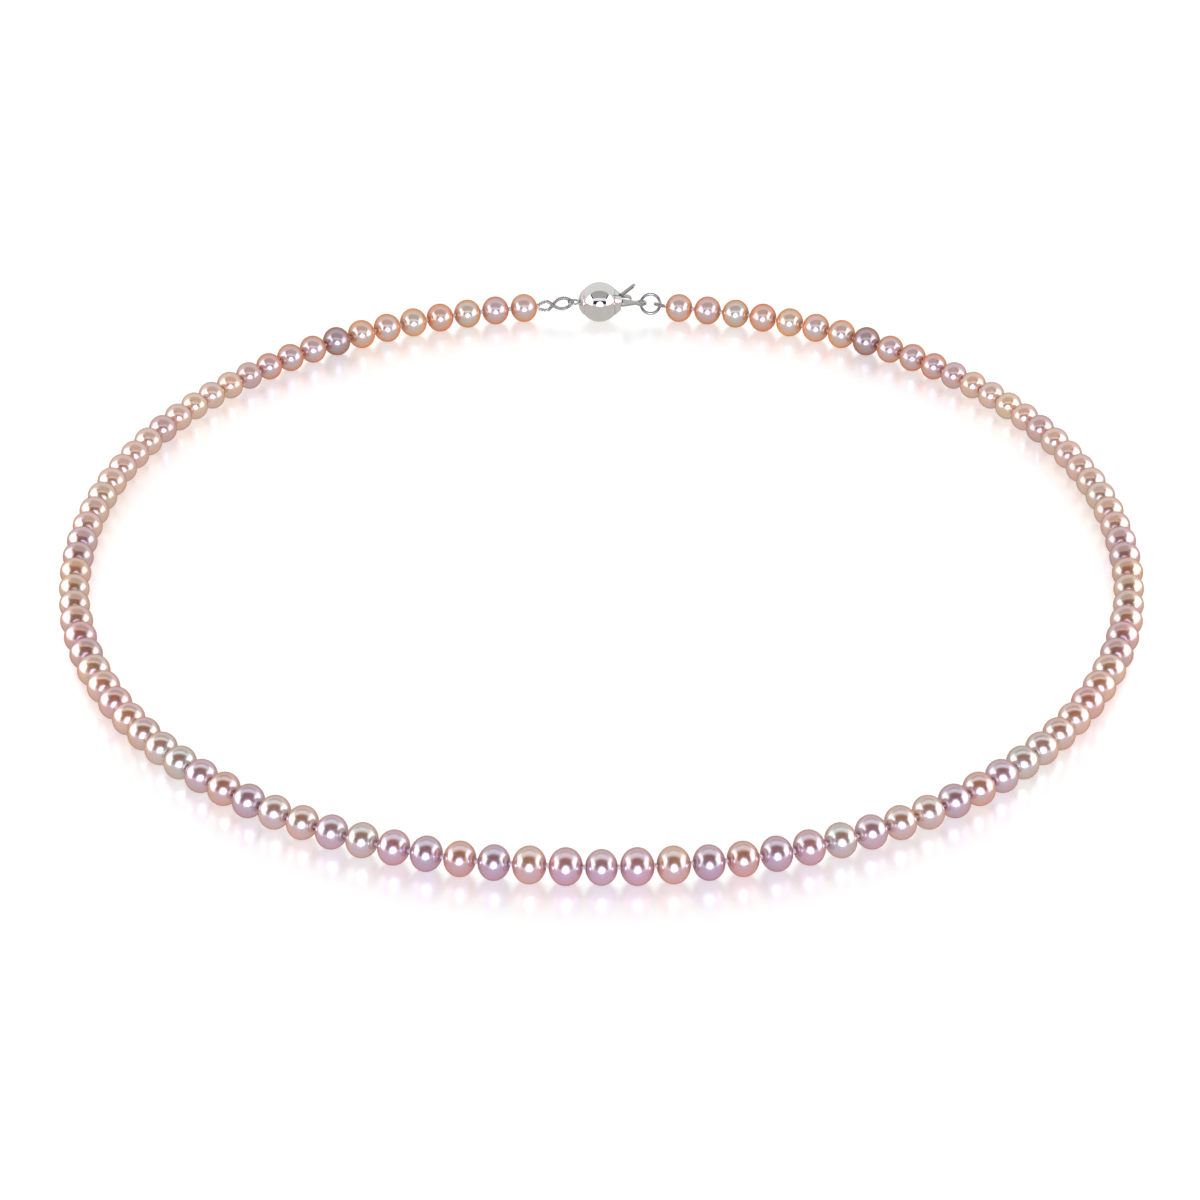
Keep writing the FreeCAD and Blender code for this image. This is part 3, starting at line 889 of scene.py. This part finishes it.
def build_jump_ring(material):
    middle, (first, second, _), sizes = measure_flat("jump_ring")
    ring = round_ring(middle, first, second, sizes[0] - sizes[2], sizes[2], JUMP_RING_GAP)
    add_piece("open_jump_ring", ring, material, "jump_ring")


def soften_edges(node, material):
    """A small rounding on the sharp edges of a CAD node that keeps its mesh."""
    piece = NODES[node]
    piece.data.materials.clear()
    piece.data.materials.append(material)
    rounding = piece.modifiers.new("rounded_edges", "BEVEL")
    rounding.width = EDGE_ROUNDING
    rounding.segments = EDGE_SEGMENTS
    rounding.limit_method = "ANGLE"
    rounding.angle_limit = math.radians(EDGE_LEAST_ANGLE)
    rounding.harden_normals = True


def build_clasp():
    # the same silver at three brightnesses; the two dimmer ones are painted shade on the small parts
    polished = silver("polished_silver", 0.98, 0.035, 0.06)
    trim = silver("silver_trim", 0.62, 0.06, 0.12)
    painted_dark = silver("silver_painted_dark", 0.42, 0.05, 0.10)
    build_ball(polished)
    build_cap_ring(trim)
    build_jump_ring(painted_dark)
    soften_edges("slotted_collar", polished)
    soften_edges("thumb_tab", painted_dark)
    for node in ("tongue", "tongue_stop", "spring_leaf"):
        soften_edges(node, trim)


# ------------------------------------------------------------------ stage

TENT_WHITE = (1.0, 0.99, 0.985)
TENT_LEVEL = 0.76
# where each part of the world goes from dark to pale, along a direction's y, its x either way and
# its z: behind the opening, beside it and below it
OPENING_SPAN = (-0.12, 0.06)
FLANK_SPAN = (0.70, 0.88)
HORIZON_SPAN = (0.21, 0.13)
OPENING_DARK = (0.03, 0.028, 0.028)
ROOF_HEIGHT = 0.141
ROOF_FRONT = -0.048
ROOF_BACK = 0.085
ROOF_HALF_WIDTH = 0.13
ROOF_LEVEL = 0.42                       # the roof's middle is dimmer than the rest of the tent
FLAP_FOOT = (-0.026, 0.068)             # y and z of the flap that hangs from the roof's front
FLAP_LEVEL = 0.95
WALL_X = 0.22
WALL_FRONT = -0.18
WALL_BACK = 0.08
WALL_TOP = 0.19
WALL_LEVEL = 2.0
FRONT_LIGHT = Vector((0.012, -0.43, 0.080))
# each front light's width, radiance and colour
KEY_LIGHT = (0.17, 11.0, (0.84, 0.88, 1.0))
WIDE_LIGHT = (0.374, 2.5, (0.70, 0.68, 1.0))
FLOOR_RADIUS = 3.0
FLOOR_STEPS = 64
FLOOR_SEEN = 0.44                       # how brightly the table glows for the camera
FLOOR_MIRRORED = 0.58                   # and how brightly for everything else
FLOOR_GLOSS = (0.86, 0.86, 0.86, 1)
FLOOR_BLUR = 0.34
# painted light in the table's glow, which the pearls mirror: lilac before the strand, warmer within
# it
FLOOR_FRONT_TINT = (0.96, 0.70, 1.10)    # the front lights' colour on the table before the strand
FLOOR_INNER_TINT = (1.0, 0.95, 0.90)
FLOOR_TINT_SPAN = (-0.105, -0.050)      # the y between which one tint goes over into the other
CAMERA_WHITE = (1.0, 1.0, 1.0, 1)       # the camera sees the table without a tint


def glowing(name, level):
    material, tree, output = new_material(name)
    glow = add_node(tree, "ShaderNodeEmission")
    set_inputs(glow, Color=(*TENT_WHITE, 1), Strength=level)
    tree.links.new(glow.outputs[0], output.inputs["Surface"])
    return material


def add_sheet(name, corners, level):
    """A glowing wall of the light tent, seen in reflections but not by the camera."""
    sheet = new_object(name, corners, [(0, 1, 2, 3)], smooth=False)
    sheet.data.materials.append(glowing(name, level))
    sheet.visible_camera = False
    sheet.visible_shadow = False


def add_front_light(name, width, radiance, colour):
    """A disk that faces the strand. Its power is its radiance times its area times pi."""
    data = bpy.data.lights.new(name, "AREA")
    data.shape = "DISK"
    data.size = width
    data.energy = radiance * math.pi * math.pi * width ** 2 / 4
    data.color = colour
    lamp = bpy.data.objects.new(name, data)
    lamp.location = FRONT_LIGHT
    lamp.rotation_euler = (-FRONT_LIGHT).to_track_quat("-Z", "Y").to_euler()
    lamp.visible_camera = False
    bpy.context.scene.collection.objects.link(lamp)


def add_lights():
    w = ROOF_HALF_WIDTH
    foot_y, foot_z = FLAP_FOOT
    add_sheet("tent_roof", [(-w, ROOF_FRONT, ROOF_HEIGHT), (w, ROOF_FRONT, ROOF_HEIGHT),
                            (w, ROOF_BACK, ROOF_HEIGHT), (-w, ROOF_BACK, ROOF_HEIGHT)], ROOF_LEVEL)
    add_sheet("tent_flap", [(-w, ROOF_FRONT, ROOF_HEIGHT), (w, ROOF_FRONT, ROOF_HEIGHT),
                            (w, foot_y, foot_z), (-w, foot_y, foot_z)], FLAP_LEVEL)
    for name, x in (("tent_left", -WALL_X), ("tent_right", WALL_X)):
        add_sheet(name, [(x, WALL_FRONT, 0.0), (x, WALL_BACK, 0.0), (x, WALL_BACK, WALL_TOP),
                         (x, WALL_FRONT, WALL_TOP)], WALL_LEVEL)
    add_front_light("front_light", *KEY_LIGHT)
    add_front_light("front_glow", *WIDE_LIGHT)


def larger(tree, first, second):
    pick = add_node(tree, "ShaderNodeMath", operation="MAXIMUM")
    tree.links.new(first, pick.inputs[0])
    tree.links.new(second, pick.inputs[1])
    return pick.outputs[0]


def split(tree, coordinates):
    """The x, y and z of a texture coordinate."""
    place = add_node(tree, "ShaderNodeTexCoord")
    parts = add_node(tree, "ShaderNodeSeparateXYZ")
    tree.links.new(place.outputs[coordinates], parts.inputs[0])
    return parts.outputs


def build_world():
    """A light tent: pale all round, with a dark opening in front and above."""
    world = bpy.data.worlds.new("light_tent")
    bpy.context.scene.world = world
    world.use_nodes = True
    tree = world.node_tree
    tree.nodes.clear()
    x, y, z = split(tree, "Generated")
    sideways = add_node(tree, "ShaderNodeMath", operation="ABSOLUTE")
    tree.links.new(x, sideways.inputs[0])
    behind = ramp(tree, y, *OPENING_SPAN)
    beside = ramp(tree, sideways.outputs[0], *FLANK_SPAN)
    below = ramp(tree, z, *HORIZON_SPAN)
    pale = larger(tree, larger(tree, behind, beside), below)
    tent = tuple(TENT_LEVEL * c for c in TENT_WHITE)
    sky = add_node(tree, "ShaderNodeBackground")
    output = add_node(tree, "ShaderNodeOutputWorld")
    tree.links.new(mixed_colour(tree, pale, OPENING_DARK, tent), sky.inputs["Color"])
    tree.links.new(sky.outputs[0], output.inputs["Surface"])


def table_top():
    """White and lit, with a blurred reflection for the camera alone."""
    material, tree, output = new_material("lit_table_top")
    to_camera = add_node(tree, "ShaderNodeLightPath").outputs["Is Camera Ray"]
    inward = ramp(tree, split(tree, "Object")["Y"], *FLOOR_TINT_SPAN)
    seen = add_node(tree, "ShaderNodeMix", data_type="RGBA")
    seen.inputs[MIX_SECOND].default_value = CAMERA_WHITE
    tree.links.new(to_camera, seen.inputs[0])
    tint = mixed_colour(tree, inward, FLOOR_FRONT_TINT, FLOOR_INNER_TINT)
    tree.links.new(tint, seen.inputs[MIX_FIRST])
    glow = add_node(tree, "ShaderNodeEmission")
    level = ramp(tree, to_camera, 0, 1, FLOOR_MIRRORED, FLOOR_SEEN, "LINEAR")
    tree.links.new(seen.outputs[MIX_RESULT], glow.inputs["Color"])
    tree.links.new(level, glow.inputs["Strength"])
    gloss = add_node(tree, "ShaderNodeBsdfGlossy")
    set_inputs(gloss, Color=FLOOR_GLOSS, Roughness=FLOOR_BLUR)
    both = add_node(tree, "ShaderNodeAddShader")
    tree.links.new(glow.outputs[0], both.inputs[0])
    tree.links.new(gloss.outputs[0], both.inputs[1])
    finish = add_node(tree, "ShaderNodeMixShader")
    tree.links.new(to_camera, finish.inputs[0])
    tree.links.new(glow.outputs[0], finish.inputs[1])
    tree.links.new(both.outputs[0], finish.inputs[2])
    tree.links.new(finish.outputs[0], output.inputs["Surface"])
    return material


def build_floor():
    rim = []
    for i in range(FLOOR_STEPS):
        turn = 2 * math.pi * i / FLOOR_STEPS
        rim.append((FLOOR_RADIUS * math.cos(turn), FLOOR_RADIUS * math.sin(turn), CAD_BOX[0].z))
    floor = new_object("floor", rim, [tuple(range(FLOOR_STEPS))], smooth=False)
    floor.data.materials.append(table_top())


def build_camera():
    data = bpy.data.cameras.new("camera")
    data.lens = CAMERA_LENS
    data.sensor_width = SENSOR_WIDTH
    data.shift_x = CAMERA_SHIFT
    data.clip_start, data.clip_end = CAMERA_CLIP
    camera = bpy.data.objects.new("camera", data)
    pitch = math.radians(CAMERA_PITCH)
    back = Vector((0, -math.cos(pitch), math.sin(pitch)))
    camera.location = CAMERA_TARGET + back * CAMERA_DISTANCE
    camera.rotation_euler = (math.pi / 2 - pitch, 0, 0)
    bpy.context.scene.collection.objects.link(camera)
    bpy.context.scene.camera = camera


bpy.context.scene.view_settings.view_transform = "Standard"
build_world()
build_floor()
add_lights()
build_camera()
PEARLS = build_pearls()
KNOTS = find_knots(PEARLS)
SILK = silk()
LEFT_MOUTHS = build_wire_loops(KNOTS[0], SILK)
build_threads(PEARLS, KNOTS, LEFT_MOUTHS, SILK)
build_clasp()
